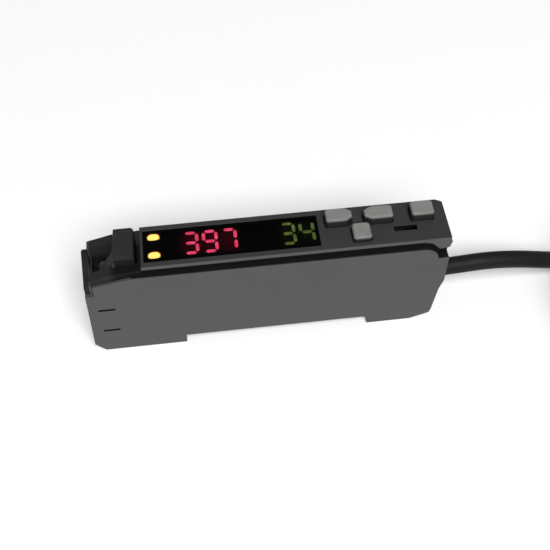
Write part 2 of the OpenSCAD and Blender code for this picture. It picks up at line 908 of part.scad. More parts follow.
// Bush in the end wall that the cable leaves through
module cable_grommet() {
    face_x = xr - waist;
    color([0.06, 0.06, 0.06])
    difference() {
        union() {
            bar_x(face_x - wall - 0.9, face_x + 0.5, 0, cable_z, cable_r + 0.85);
            bar_x(face_x - wall - 1.7, face_x - wall - 0.6, 0, cable_z, cable_r + 1.4);
        }
        bar_x(face_x - 5, face_x + 2, 0, cable_z, cable_r + 0.05);
    }
}

// Ring of points round point i of a path, with one of its axes square to up
function unit(v) = v / norm(v);
function heading(path, i) = unit(path[min(i + 1, len(path) - 1)] - path[max(i - 1, 0)]);
function ring(path, i, r, sides, up) =
    let (t = heading(path, i), s = unit(cross(t, up)), u = cross(s, t))
    [for (k = [0:sides - 1]) path[i] + r * (cos(k * 360 / sides) * s + sin(k * 360 / sides) * u)];

// Solid round tube along a path
module tube(path, r, sides, up) {
    n = len(path);
    points = [for (i = [0:n - 1]) each ring(path, i, r, sides, up)];
    walls = [
        for (i = [0:n - 2], k = [0:sides - 1])
            let (a = i * sides, j = (k + 1) % sides)
            [a + k, a + j, a + sides + j, a + sides + k]
    ];
    front = [for (k = [sides - 1:-1:0]) k];
    back = [for (k = [0:sides - 1]) (n - 1) * sides + k];
    polyhedron(points, concat([front, back], walls));
}

// Cable from its terminal, through the grommet and down to the coil
module cable_lead() {
    color([0.14, 0.14, 0.14])
    tube(ROUTE, cable_r, 8, [0, 0, 1]);
}

// Cross-section of the coil, grown by g
module coil_section(g) {
    translate([coil_r - coil_rings * coil_pitch / 2 - g, tie_t - g])
        square([coil_rings * coil_pitch + 2 * g, coil_levels * coil_pitch + 2 * g]);
}

// Part of a ring round the coil's middle line
module coil_arc(start, angle) {
    translate([coil_at[0], coil_at[1], 0])
        rotate([0, 0, start])
            rotate_extrude(angle = angle, $fn = 96)
                children();
}

// Coil of the stored cable, with a gap in its inner upper turn for the stripped end
module cable_coil() {
    color([0.14, 0.14, 0.14])
    difference() {
        coil_arc(0, 360) coil_section(0);
        coil_arc(gap_start, gap_turn)
            translate([coil_r - coil_rings * coil_pitch / 2 - 1, lead_z])
                square([coil_pitch + 1, coil_pitch + 1]);
    }
}

// Strap round the coil
module coil_tie() {
    color([0.05, 0.05, 0.05])
    coil_arc(tie_start, tie_w / coil_r * 180 / PI)
        difference() {
            coil_section(tie_t);
            coil_section(0);
        }
}

// Four stripped leads that go on from the cable's end
module lead_wires() {
    r = coil_r - (coil_rings - 1) * coil_pitch / 2;
    shades = [[0.3, 0.15, 0.05], [0.1, 0.2, 0.6], [0.05, 0.05, 0.05], [0.9, 0.45, 0.1]];
    for (i = [0:1], j = [0:1])
        color(shades[2 * i + j])
        coil_arc(lead_start, lead_turn)
            translate([r + (i - 0.5) * lead_pitch, lead_z + 0.05 + lead_r + j * lead_pitch]) circle(lead_r);
}

main_case();
side_cover();
chassis_frame();
top_panel();
display_window();
red_display();
green_display();
red_digits();
green_digits();
output_lamp_rear();
output_lamp_front();
display_board();
main_board();
board_connector();
controller_chip();
output_driver();
supply_capacitor();
cable_terminal();
left_key();
right_key();
mode_key();
set_key();
left_switch();
right_switch();
mode_switch();
set_switch();
left_plunger();
right_plunger();
mode_plunger();
set_plunger();
slide_switch();
slide_knob();
emitter_holder();
receiver_holder();
emitter_led();
receiver_diode();
fibre_clamp();
lock_lever();
lever_pin();
rail_hook();
hook_spring();
cable_grommet();
cable_lead();
cable_coil();
coil_tie();
lead_wires();
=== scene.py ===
"""Dresses the packed fibre optic sensor amplifier and stages it as in its photograph."""

import logging
import math
from dataclasses import dataclass
from enum import Enum
from functools import cache
from typing import Any, Sequence, Union

import bmesh
import bpy
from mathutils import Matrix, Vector


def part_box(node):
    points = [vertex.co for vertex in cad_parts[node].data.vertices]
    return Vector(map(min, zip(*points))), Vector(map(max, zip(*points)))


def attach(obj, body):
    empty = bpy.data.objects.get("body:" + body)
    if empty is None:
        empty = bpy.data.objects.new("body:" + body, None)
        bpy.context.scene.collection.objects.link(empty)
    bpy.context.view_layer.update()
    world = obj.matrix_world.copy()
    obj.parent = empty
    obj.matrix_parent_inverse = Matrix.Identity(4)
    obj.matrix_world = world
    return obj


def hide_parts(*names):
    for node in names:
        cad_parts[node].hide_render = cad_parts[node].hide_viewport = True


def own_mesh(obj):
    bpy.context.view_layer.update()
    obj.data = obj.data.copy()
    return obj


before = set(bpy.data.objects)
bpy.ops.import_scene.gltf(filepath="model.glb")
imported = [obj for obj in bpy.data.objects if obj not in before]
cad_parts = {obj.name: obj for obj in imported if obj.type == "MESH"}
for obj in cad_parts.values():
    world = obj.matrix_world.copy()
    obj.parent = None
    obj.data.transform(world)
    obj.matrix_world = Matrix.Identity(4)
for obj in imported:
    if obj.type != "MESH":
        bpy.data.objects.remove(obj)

LOG = logging.getLogger("amplifier")

Colour = tuple[float, float, float]
Point = tuple[float, float, float]
Value = Union["Expr", float, int, Sequence[float]]


class Edge(Enum):
    """Edge radius of a piece as it leaves its mould or its tool, in metres."""

    SHARP = 0.00005
    CRISP = 0.0001
    MOULDED = 0.00018
    SOFT = 0.0004


class Body(Enum):
    """CAD bodies that new pieces ride on."""

    HOUSING = "housing"


class Expr:
    """A node's output socket that takes part in Python arithmetic."""

    def __init__(self, graph: "Graph", socket: bpy.types.NodeSocket) -> None:
        """Wraps a socket.

        Args:
            graph: The graph that new nodes go into.
            socket: The output socket to wrap.
        """
        self.graph = graph
        self.socket = socket

    def _math(self, operation: str, first: Value, second: Value = 0.0) -> "Expr":
        """Adds one Math node.

        Args:
            operation: The node's operation.
            first: Its first value.
            second: Its second value, where it has one.

        Returns:
            The node's result.
        """
        return self.graph.add("ShaderNodeMath", {"operation": operation}, {0: first, 1: second})

    def __add__(self, other: Value) -> "Expr":
        """Adds a value."""
        return self._math("ADD", self, other)

    def __radd__(self, other: Value) -> "Expr":
        """Adds this to a value."""
        return self._math("ADD", other, self)

    def __sub__(self, other: Value) -> "Expr":
        """Takes a value away."""
        return self._math("SUBTRACT", self, other)

    def __rsub__(self, other: Value) -> "Expr":
        """Takes this away from a value."""
        return self._math("SUBTRACT", other, self)

    def __mul__(self, other: Value) -> "Expr":
        """Multiplies by a value."""
        return self._math("MULTIPLY", self, other)

    def __rmul__(self, other: Value) -> "Expr":
        """Multiplies a value by this."""
        return self._math("MULTIPLY", other, self)

    def __truediv__(self, other: Value) -> "Expr":
        """Divides by a value."""
        return self._math("DIVIDE", self, other)

    def __pow__(self, other: Value) -> "Expr":
        """Raises this to a power."""
        return self._math("POWER", self, other)

    def __rpow__(self, other: Value) -> "Expr":
        """Raises a value to this power."""
        return self._math("POWER", other, self)

    def __abs__(self) -> "Expr":
        """Drops the sign."""
        return self._math("ABSOLUTE", self)

    def step(self, start: float, end: float) -> "Expr":
        """Rises smoothly from 0 at start to 1 at end.

        Args:
            start: Where the rise begins.
            end: Where the rise ends; below start, the step falls instead.

        Returns:
            The step, from 0 to 1.
        """
        return self.graph.add(
            "ShaderNodeMapRange",
            {"interpolation_type": "SMOOTHSTEP"},
            {"Value": self, "From Min": start, "From Max": end},
        )


class Graph:
    """The node tree of one material, with its Principled shader."""

    def __init__(self, name: str) -> None:
        """Makes the material.

        Args:
            name: The material's name.
        """
        self.material = bpy.data.materials.new(name)
        self.material.use_nodes = True
        self.tree = self.material.node_tree
        self.shader = next(n for n in self.tree.nodes if n.type == "BSDF_PRINCIPLED")

    def add(
        self,
        kind: str,
        settings: dict[str, Any] | None = None,
        sockets: dict[Any, Value] | None = None,
        output: int = 0,
    ) -> Expr:
        """Adds a node.

        Args:
            kind: The node's type.
            settings: The node's own settings, set first; stops are those of a colour ramp.
            sockets: Values or links of its inputs, by name or index.
            output: Which output to hand back.

        Returns:
            The output, ready for arithmetic.
        """
        node = self.tree.nodes.new(kind)
        for name, setting in (settings or {}).items():
            if name == "stops":
                self._set_stops(node.color_ramp, setting)
            else:
                setattr(node, name, setting)
        for key, value in (sockets or {}).items():
            self._plug(node.inputs[key], value)
        return Expr(self, node.outputs[output])

    @staticmethod
    def _set_stops(ramp: bpy.types.ColorRamp, stops: Sequence[tuple[float, Colour]]) -> None:
        """Sets a colour ramp's stops.

        Args:
            ramp: The ramp.
            stops: Each stop's place and colour.
        """
        while len(ramp.elements) < len(stops):
            ramp.elements.new(1.0)
        for element, (place, colour) in zip(ramp.elements, stops):
            element.position = place
            element.color = (*colour, 1.0)

    def _plug(self, socket: bpy.types.NodeSocket, value: Value) -> None:
        """Links a socket or sets its value.

        Args:
            socket: The input socket.
            value: What feeds it.
        """
        if isinstance(value, Expr):
            self.tree.links.new(value.socket, socket)
        elif socket.type == "RGBA" and len(value) == 3:
            socket.default_value = (*value, 1.0)
        else:
            socket.default_value = value

    def feed(self, **inputs: Value) -> None:
        """Feeds the shader: each name is a socket's name with _ for a blank."""
        for name, value in inputs.items():
            self._plug(self.shader.inputs[name.replace("_", " ")], value)

    def place(self) -> tuple[Expr, Expr, Expr, Expr]:
        """Gives the point on the piece, in metres.

        Returns:
            The point as a vector, and its x, y and z.
        """
        point = self.add("ShaderNodeTexCoord", output=3)
        parts = [self.add("ShaderNodeSeparateXYZ", sockets={0: point}, output=i) for i in range(3)]
        return point, parts[0], parts[1], parts[2]

    def noise(self, point: Expr, size: float, detail: float = 3.0) -> Expr:
        """Adds cloudy noise.

        Args:
            point: Where on the piece.
            size: The size of its clouds, in metres.
            detail: How many finer layers it has.

        Returns:
            The noise, around 0.5.
        """
        sockets: dict[Any, Value] = {"Vector": point, "Scale": 1 / size, "Detail": detail}
        return self.add("ShaderNodeTexNoise", sockets=sockets)

    def mix(self, share: Value, low: Value, high: Value) -> Expr:
        """Mixes two colours.

        Args:
            share: The second colour's share.
            low: The first colour.
            high: The second colour.

        Returns:
            The mixed colour.
        """
        return self.add("ShaderNodeMix", {"data_type": "RGBA"}, {0: share, 6: low, 7: high}, output=2)

    def bump(self, height: Expr, depth: float) -> Expr:
        """Turns a height into a normal.

        Args:
            height: The height, from 0 to 1.
            depth: The height's full depth in metres.

        Returns:
            The bumped normal.
        """
        return self.add("ShaderNodeBump", sockets={"Strength": 1.0, "Distance": depth, "Height": height})


def shade(colour: Colour, factor: float) -> Colour:
    """Scales a colour's brightness."""
    return (colour[0] * factor, colour[1] * factor, colour[2] * factor)


@dataclass(frozen=True)
class Finish:
    """A named finish that makes its material once."""

    name: str

    @cache
    def material(self) -> bpy.types.Material:
        """Gives the finish's material, made at its first use."""
        graph = Graph(self.name)
        self.paint(graph)
        return graph.material

    def paint(self, graph: Graph) -> None:
        """Builds the nodes.

        Args:
            graph: The material's graph.
        """
        raise NotImplementedError


@dataclass(frozen=True)
class MouldedPlastic(Finish):
    """Moulded plastic with spark-eroded grain and faint flow clouds."""

    colour: Colour = (0.1, 0.1, 0.1)
    roughness: float = 0.5
    grain: float = 0.00025
    depth: float = 0.00001
    tone: float = 0.08
    specular: float = 0.5
    cloud: float = 0.006
    swing: float = 0.12

    def paint(self, graph: Graph) -> None:
        """Builds clouds of tone, grain in the roughness and a fine bump.

        Args:
            graph: The material's graph.
        """
        point, *_ = graph.place()
        clouds = graph.noise(point, self.cloud)
        grain = graph.noise(point, self.grain, 2.0)
        colour = graph.mix(clouds, shade(self.colour, 1 - self.tone), shade(self.colour, 1 + self.tone))
        graph.feed(
            Base_Color=self.tint(graph, colour),
            Roughness=self.roughness + self.swing * (grain - 0.5),
            Normal=graph.bump(grain, self.depth),
            Specular_IOR_Level=self.specular,
        )

    def tint(self, graph: Graph, colour: Expr) -> Expr:
        """Changes the plain colour in places; here it stays as it is.

        Args:
            graph: The material's graph.
            colour: The plain colour.

        Returns:
            The colour to use.
        """
        return colour


@dataclass(frozen=True)
class InkedPlastic(MouldedPlastic):
    """Moulded plastic with dark ink in its sunk marks."""

    marks: tuple[tuple[float, float], ...] = ()
    mark_half: tuple[float, float] = (0.0016, 0.00034)
    face: float = 0.0
    sunk: tuple[float, float] = (0.00005, 0.0001)
    soft: float = 0.00003
    ink: Colour = (0.004, 0.004, 0.004)

    def tint(self, graph: Graph, colour: Expr) -> Expr:
        """Lays the ink where the marks are sunk below the face.

        Args:
            graph: The material's graph.
            colour: The plain colour.

        Returns:
            The colour with the ink.
        """
        _, x, y, z = graph.place()
        half_x, half_z = self.mark_half
        inked: Value = 0.0
        for mark_x, mark_z in self.marks:
            inside = abs(x - mark_x).step(half_x, half_x - self.soft)
            inside = inside * abs(z - mark_z).step(half_z, half_z - self.soft)
            inked = inside + inked
        below = y.step(self.face + self.sunk[0], self.face + self.sunk[1])
        return graph.mix(below * inked, colour, self.ink)


@dataclass(frozen=True)
class PanelPlastic(MouldedPlastic):
    """Dark panel with a painted highlight on the lip round its edge and painted shade, near black, on the
    walls of its openings.
    """

    low: Point = (0.0, 0.0, 0.0)
    high: Point = (0.0, 0.0, 0.0)
    # Painted highlight: the lip's paler colour. Painted shade: the openings' near-black walls.
    painted_lip_highlight: Colour = (0.04, 0.04, 0.0413)
    painted_hole_shade: Colour = (0.003, 0.003, 0.003)
    side_lip: float = 0.00045
    end_lip: float = 0.0009
    soft: float = 0.0001
    sunk: tuple[float, float] = (0.00003, 0.00012)

    def tint(self, graph: Graph, colour: Expr) -> Expr:
        """Paints a highlight on the lip and shade on the openings' walls, below the top face.

        Args:
            graph: The material's graph.
            colour: The top face's colour.

        Returns:
            The colour to use.
        """
        _, x, y, z = graph.place()
        left, front = self.low[0] + self.side_lip, self.low[1] + self.side_lip
        right, back = self.high[0] - self.end_lip, self.high[1] - self.side_lip
        inner = x.step(left, left + self.soft) * x.step(right, right - self.soft)
        inner = inner * y.step(front, front + self.soft) * y.step(back, back - self.soft)
        below = z.step(self.high[2] - self.sunk[0], self.high[2] - self.sunk[1])
        # Painted highlight on the lip and painted shade in the openings, below the top face.
        return graph.mix(below, colour, graph.mix(inner, self.painted_lip_highlight, self.painted_hole_shade))


@dataclass(frozen=True)
class FramePlastic(MouldedPlastic):
    """Black frame plastic with painted light on the top of its open head and a brighter painted highlight
    on its end wall's rim.
    """

    # Painted light on the cheeks' tops, and a brighter painted highlight along the end wall's rim.
    painted_cheek_light: Colour = (0.022, 0.022, 0.0223)
    rim: Colour = (0.11, 0.11, 0.111)
    rim_at: float = 0.00165
    rim_half: float = 0.00025
    rim_run: tuple[float, float] = (0.003, -0.0045)
    rim_least: float = 0.3
    end: float = 0.0
    panel: float = 0.0
    near_run: float = 0.0068
    near_fade: float = 0.0018
    far_from: float = 0.0008
    far_fade: float = 0.001
    panel_fade: float = 0.0002
    near_floor: float = 0.0165
    far_floor: float = 0.0187
    floor_fade: float = 0.002

    def tint(self, graph: Graph, colour: Expr) -> Expr:
        """Paints light on the head's cheeks above the pocket's shade, and a brighter highlight on the rim
        of its end wall.

        Args:
            graph: The material's graph.
            colour: The plain colour.

        Returns:
            The colour to use.
        """
        _, x, y, z = graph.place()
        # Painted light: the near cheek by the end and the far cheek by the panel, above the pocket.
        near_end = self.end + self.near_run
        far_side = y.step(self.far_from, self.far_from + self.far_fade)
        near = x.step(near_end, near_end - self.near_fade) * (1 - far_side)
        near = near * z.step(self.near_floor, self.near_floor + self.floor_fade)
        far = x.step(self.panel, self.panel - self.panel_fade) * far_side
        far = far * z.step(self.far_floor, self.far_floor + self.floor_fade)
        # Painted highlight: a pale line along the inner top edge of the end wall.
        rim = abs(x - (self.end + self.rim_at)).step(self.rim_half, 0.0)
        rim = rim * z.step(self.near_floor, self.near_floor + self.floor_fade)
        rim = rim * (self.rim_least + (1 - self.rim_least) * y.step(*self.rim_run))
        return graph.mix(rim, graph.mix(near + far, colour, self.painted_cheek_light), self.rim)


@dataclass(frozen=True)
class KeyCap(Finish):
    """Key or knob with rub marks on a pale crown over a dark skirt; the pale crown is painted light and
    the dark skirt painted shade.
    """

    top: float = 0.0
    # Painted light on the top, and painted shade on the sides below it.
    painted_crown_light: Colour = (0.185, 0.185, 0.179)
    painted_skirt_shade: Colour = (0.018, 0.0175, 0.0165)
    fade: tuple[float, float] = (0.00075, 0.0)
    specular: float = 0.15
    rub: float = 0.0016
    rub_tone: float = 0.2
    grain: float = 0.0003
    depth: float = 0.000012

    def paint(self, graph: Graph) -> None:
        """Builds the crown's rub marks and its fade from the crown's painted light into the skirt's
        painted shade.

        Args:
            graph: The material's graph.
        """
        point, _, _, z = graph.place()
        rubs = graph.noise(point, self.rub, 4.0)
        painted_crown_light = graph.mix(rubs, shade(self.painted_crown_light, 1 - self.rub_tone), shade(self.painted_crown_light, 1 + self.rub_tone))
        height = z.step(self.top - self.fade[0], self.top - self.fade[1])
        grain = graph.noise(point, self.grain, 2.0)
        graph.feed(
            Base_Color=graph.mix(height, self.lower(graph), painted_crown_light),
            Roughness=0.5 + 0.14 * (grain - 0.5),
            Normal=graph.bump(grain, self.depth),
            Specular_IOR_Level=self.specular,
        )

    def lower(self, graph: Graph) -> Value:
        """Gives the colour below the crown, which is painted shade; here it is the skirt's.

        Args:
            graph: The material's graph.

        Returns:
            The colour to use.
        """
        return self.painted_skirt_shade


@dataclass(frozen=True)
class LeverPlastic(KeyCap):
    """Knob of the lock lever, with painted light on its arm."""

    # Painted light on the arm's face beside the pocket.
    painted_arm_light: Colour = (0.06, 0.06, 0.059)
    arm_from: float = 0.0
    arm_fade: float = 0.0002

    def lower(self, graph: Graph) -> Value:
        """Paints light on the arm beyond the knob, towards the fibre end.

        Args:
            graph: The material's graph.

        Returns:
            The colour to use.
        """
        _, x, _, _ = graph.place()
        return graph.mix(x.step(self.arm_from, self.arm_from - self.arm_fade), self.painted_skirt_shade, self.painted_arm_light)


@dataclass(frozen=True)
class WindowPlate(Finish):
    """Black window plate, clear over the displays and the lamps."""

    colour: Colour = (0.0006, 0.0006, 0.0007)
    clear: float = 0.35
    lamps: tuple[tuple[float, float], ...] = ()
    displays: tuple[tuple[float, float], ...] = ()
    display_half: float = 0.0028
    lamp_half: tuple[float, float] = (0.0014, 0.0009)
    lamp_edge: tuple[float, float] = (1.15, 1.0)
    soft: float = 0.0001
    smear: float = 0.004

    def paint(self, graph: Graph) -> None:
        """Builds the black print with its clear fields.

        Args:
            graph: The material's graph.
        """
        point, x, y, _ = graph.place()
        open_field: Value = 0.0
        for start, end in self.displays:
            inside = x.step(start, start + self.soft) * x.step(end, end - self.soft)
            inside = inside * abs(y).step(self.display_half, self.display_half - self.soft)
            open_field = inside + open_field
        half_x, half_y = self.lamp_half
        for lamp_x, lamp_y in self.lamps:
            reach = (abs(x - lamp_x) / half_x) ** 3 + (abs(y - lamp_y) / half_y) ** 3
            open_field = reach.step(*self.lamp_edge) + open_field
        smear = graph.noise(point, self.smear)
        graph.feed(
            Base_Color=graph.mix(smear, self.colour, shade(self.colour, 1.6)),
            Roughness=0.16 + 0.08 * smear,
            Alpha=1 - (1 - self.clear) * open_field,
            Specular_IOR_Level=0.06,
        )


@dataclass(frozen=True)
class LitBars(Finish):
    """Lit bars of a display, a little uneven along their length."""

    colour: Colour = (1.0, 0.1, 0.1)
    core: Colour = (1.0, 0.4, 0.4)
    strength: float = 1.0
    spot: float = 0.0011
    spot_edge: tuple[float, float] = (0.45, 0.68)
    unlit: float = 0.4

    def paint(self, graph: Graph) -> None:
        """Builds the glow with brighter spots.

        Args:
            graph: The material's graph.
        """
        point, *_ = graph.place()
        spots = graph.noise(point, self.spot, 1.0).step(*self.spot_edge)
        graph.feed(
            Base_Color=graph.mix(spots, shade(self.colour, self.unlit), shade(self.core, self.unlit)),
            Emission_Color=graph.mix(spots, self.colour, self.core),
            Emission_Strength=self.strength,
            Roughness=0.4,
        )


@dataclass(frozen=True)
class DisplayFace(Finish):
    """Black display face with stray light round the lit digits."""

    glow: Colour = (0.1, 0.0, 0.0)
    digits: tuple[float, ...] = ()
    middle: float = 0.0
    spread: tuple[float, float] = (0.0016, 0.0026)
    dust: float = 0.0008
    black: Colour = (0.0008, 0.0008, 0.0008)

    def paint(self, graph: Graph) -> None:
        """Builds the stray light.

        Args:
            graph: The material's graph.
        """
        point, x, y, _ = graph.place()
        light: Value = 0.0
        for digit in self.digits:
            reach = ((x - digit) / self.spread[0]) ** 2 + ((y - self.middle) / self.spread[1]) ** 2
            light = math.e ** (-1 * reach) + light
        dust = graph.noise(point, self.dust)
        graph.feed(
            Base_Color=graph.mix(dust, self.black, shade(self.black, 2)),
            Emission_Color=graph.mix(light, (0.0, 0.0, 0.0), self.glow),
            Emission_Strength=1.0,
            Roughness=0.6 + 0.1 * dust,
            Specular_IOR_Level=0.05,
        )


@dataclass(frozen=True)
class LampGuide(Finish):
    """Lit amber light guide, hottest in its middle."""

    core: Colour = (1.0, 0.85, 0.2)
    rim: Colour = (0.9, 0.3, 0.02)
    middle: tuple[float, float] = (0.0, 0.0)
    half: tuple[float, float] = (0.001, 0.0007)
    edge: tuple[float, float] = (1.25, 0.55)
    flicker: float = 0.0005
    strength: float = 2.2

    def paint(self, graph: Graph) -> None:
        """Builds the glow from the middle to the rim.

        Args:
            graph: The material's graph.
        """
        point, x, y, _ = graph.place()
        across = ((x - self.middle[0]) / self.half[0]) ** 2 + ((y - self.middle[1]) / self.half[1]) ** 2
        flame = across.step(*self.edge) + 0.04 * graph.noise(point, self.flicker)
        light = graph.mix(flame, self.rim, self.core)
        graph.feed(
            Base_Color=light,
            Emission_Color=light,
            Emission_Strength=self.strength,
            Roughness=0.3,
        )


@dataclass(frozen=True)
class SolderMask(Finish):
    """Green solder mask over copper tracks."""

    colour: Colour = (0.004, 0.028, 0.011)
    track_depth: float = 0.00003
    stain: float = 0.002

    def paint(self, graph: Graph) -> None:
        """Builds the tracks as raised, paler stripes.

        Args:
            graph: The material's graph.
        """
        point, *_ = graph.place()
        tracks = graph.add(
            "ShaderNodeTexBrick",
            {"offset": 0.5},
            {"Vector": point, "Scale": 350.0, "Mortar Size": 0.03, "Mortar Smooth": 0.2},
            output=1,
        )
        graph.feed(
            Base_Color=graph.mix(tracks, self.colour, shade(self.colour, 2.2)),
            Roughness=0.3 + 0.1 * graph.noise(point, self.stain),
            Normal=graph.bump(tracks, self.track_depth),
        )


@dataclass(frozen=True)
class DrawnSteel(Finish):
    """Drawn bright steel with fine lines."""

    colour: Colour = (0.5, 0.5, 0.52)
    line: float = 0.0001
    depth: float = 0.000004

    def paint(self, graph: Graph) -> None:
        """Builds lines along the drawing direction.

        Args:
            graph: The material's graph.
        """
        point, *_ = graph.place()
        stretched = graph.add("ShaderNodeMapping", sockets={"Vector": point, "Scale": (0.05, 1.0, 1.0)})
        lines = graph.noise(stretched, self.line, 2.0)
        graph.feed(
            Base_Color=graph.mix(lines, shade(self.colour, 0.85), shade(self.colour, 1.1)),
            Metallic=1.0,
            Roughness=0.22 + 0.2 * lines,
            Normal=graph.bump(lines, self.depth),
        )


@dataclass(frozen=True)
class ClearEpoxy(Finish):
    """Cast epoxy lens of a light part."""

    colour: Colour = (0.5, 0.15, 0.15)
    cloud: float = 0.001

    def paint(self, graph: Graph) -> None:
        """Builds faint casting clouds.

        Args:
            graph: The material's graph.
        """
        point, *_ = graph.place()
        clouds = graph.noise(point, self.cloud)
        graph.feed(
            Base_Color=graph.mix(clouds, shade(self.colour, 0.8), self.colour),
            Roughness=0.08 + 0.06 * clouds,
            Coat_Weight=0.5,
        )


@dataclass(frozen=True)
class CableJacket(Finish):
    """Matt extruded jacket with faint rub marks."""

    colour: Colour = (0.01, 0.01, 0.0102)
    pit: float = 0.00035
    pit_depth: float = 0.00002
    rub: float = 0.009
    rub_edge: tuple[float, float] = (0.5, 0.72)

    def paint(self, graph: Graph) -> None:
        """Builds rub marks over fine pitting.

        Args:
            graph: The material's graph.
        """
        point, *_ = graph.place()
        pits = graph.noise(point, self.pit, 2.0)
        rubs = graph.noise(point, self.rub, 4.0).step(*self.rub_edge)
        graph.feed(
            Base_Color=graph.mix(rubs, self.colour, shade(self.colour, 1.35)),
            Roughness=0.56 - 0.1 * rubs + 0.1 * (pits - 0.5),
            Normal=graph.bump(pits, self.pit_depth),
            Specular_IOR_Level=0.12,
        )


@dataclass(frozen=True)
class WovenStrap(Finish):
    """Black woven hook-and-loop strap."""

    colour: Colour = (0.006, 0.006, 0.006)
    threads: float = 1800.0
    thread_depth: float = 0.0001
    fuzz: float = 0.0004

    def paint(self, graph: Graph) -> None:
        """Builds the weave and its fuzz.

        Args:
            graph: The material's graph.
        """
        point, *_ = graph.place()
        sockets = {"Vector": point, "Scale": self.threads}
        weave = graph.add("ShaderNodeTexChecker", sockets=sockets, output=1)
        fuzz = graph.noise(point, self.fuzz)
        graph.feed(
            Base_Color=graph.mix(0.6 * weave + 0.4 * fuzz, self.colour, shade(self.colour, 2.2)),
            Roughness=0.85,
            Normal=graph.bump(weave + fuzz, self.thread_depth),
            Specular_IOR_Level=0.05,
        )


@dataclass(frozen=True)
class LeadSkin(Finish):
    """Glossy insulation of one lead."""

    colour: Colour = (0.2, 0.1, 0.05)
    mark: float = 0.0006
    depth: float = 0.00001

    def paint(self, graph: Graph) -> None:
        """Builds the insulation's faint draw marks.

        Args:
            graph: The material's graph.
        """
        point, *_ = graph.place()
        marks = graph.noise(point, self.mark)
        graph.feed(
            Base_Color=graph.mix(marks, shade(self.colour, 0.85), shade(self.colour, 1.15)),
            Roughness=0.32 + 0.1 * marks,
            Normal=graph.bump(marks, self.depth),
        )


CASE_COLOUR: Colour = (0.054, 0.054, 0.0562)
CASE_GREY = MouldedPlastic("case_plastic", CASE_COLOUR, 0.5, tone=0.05, specular=0.3)
FRAME_COLOUR: Colour = (0.0074, 0.0074, 0.0076)
FRAME_BLACK = MouldedPlastic("frame_plastic", FRAME_COLOUR, 0.4, tone=0.12, specular=0.03)
PANEL_COLOUR: Colour = (0.027, 0.027, 0.0276)
CHIP_BLACK = MouldedPlastic("chip_plastic", (0.012, 0.012, 0.012), 0.55)
SOCKET_WHITE = MouldedPlastic("socket_plastic", (0.62, 0.6, 0.53), 0.4)
SOLDER_MASK = SolderMask("solder_mask")
SPRING_STEEL = DrawnSteel("drawn_steel")
LED_EPOXY = ClearEpoxy("led_epoxy", (0.55, 0.16, 0.16))
DIODE_EPOXY = ClearEpoxy("diode_epoxy", (0.05, 0.05, 0.07))
JACKET = CableJacket("cable_jacket")
STRAP = WovenStrap("strap_weave")
RED_BARS = LitBars("red_bars", (0.85, 0.05, 0.13), (1.0, 0.09, 0.2), 1.75)
GREEN_BARS = LitBars("green_bars", (0.17, 0.24, 0.055), (0.3, 0.4, 0.1), 0.68)


class Dresser:
    """Gives carried-over CAD nodes their finishes and edge radii."""

    WELD = 0.000002
    EDGE_STEPS = 3
    EDGE_ANGLE = math.radians(25)

    @classmethod
    def dress(cls, node: str, finish: Finish, edge: Edge | None = None) -> bpy.types.Object:
        """Dresses one CAD node.

        Args:
            node: The node's name.
            finish: Its finish.
            edge: Its edge radius, or None for edges left as they are.

        Returns:
            The node's object.
        """
        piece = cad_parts[node]
        piece.data.materials.clear()
        piece.data.materials.append(finish.material())
        if edge is not None:
            weld = piece.modifiers.new("weld", "WELD")
            weld.merge_threshold = cls.WELD
            bevel = piece.modifiers.new("edge", "BEVEL")
            bevel.width = edge.value
            bevel.segments = cls.EDGE_STEPS
            bevel.limit_method = "ANGLE"
            bevel.angle_limit = cls.EDGE_ANGLE
            bevel.harden_normals = True
        LOG.info("dressed %s with %s", node, finish.name)
        return piece


